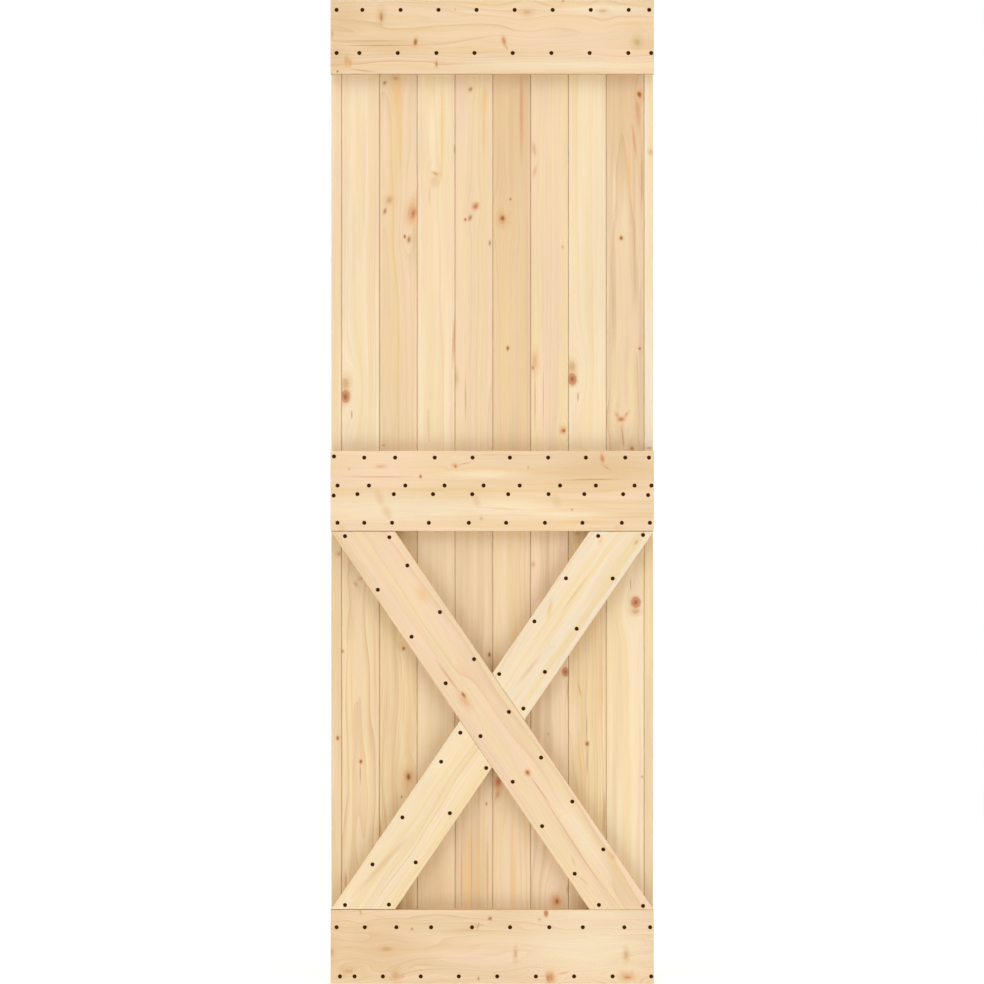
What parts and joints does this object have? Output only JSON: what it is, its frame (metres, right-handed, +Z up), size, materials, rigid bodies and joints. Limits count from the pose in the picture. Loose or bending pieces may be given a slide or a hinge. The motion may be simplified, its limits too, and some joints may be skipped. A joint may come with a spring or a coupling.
{
  "type": "barn door leaf",
  "caption": "Boarded pine barn-door leaf with three rails on its front, a cross brace in the lower bay and countersunk screws, made to hang from a sliding track.",
  "frame": {"origin": "middle of the leaf's bottom edge, halfway through its thickness", "axes": "+Z up the leaf, +Y from the rails towards the plain back of the boards, +X to the right seen from the front"},
  "size_m": [0.69, 0.04, 2.1],
  "materials": {
    "board_pine": "planed, unfinished knotty pine with vertical grain",
    "frame_pine": "planed, unfinished pine, a little creamier than the boards",
    "dark_screw": "near-black oxide coating, satin"
  },
  "bodies": {
    "root": {"bottom_rail": "frame_pine", "bottom_rail_screws": "dark_screw", "lower_board_1": "board_pine", "lower_board_2": "board_pine", "lower_board_3": "board_pine", "lower_board_4": "board_pine", "lower_board_5": "board_pine", "lower_board_6": "board_pine", "lower_board_7": "board_pine", "lower_board_8": "board_pine", "lower_half_brace": "frame_pine", "lower_half_brace_screws": "dark_screw", "lower_left_strip": "board_pine", "lower_right_strip": "board_pine", "middle_rail": "frame_pine", "middle_rail_lower_screws": "dark_screw", "middle_rail_upper_screws": "dark_screw", "through_brace": "frame_pine", "through_brace_screws": "dark_screw", "top_rail": "frame_pine", "top_rail_screws": "dark_screw", "upper_board_1": "board_pine", "upper_board_2": "board_pine", "upper_board_3": "board_pine", "upper_board_4": "board_pine", "upper_board_5": "board_pine", "upper_board_6": "board_pine", "upper_board_7": "board_pine", "upper_board_8": "board_pine", "upper_half_brace": "frame_pine", "upper_half_brace_screws": "dark_screw", "upper_left_strip": "board_pine", "upper_right_strip": "board_pine"}
  },
  "joints": []
}
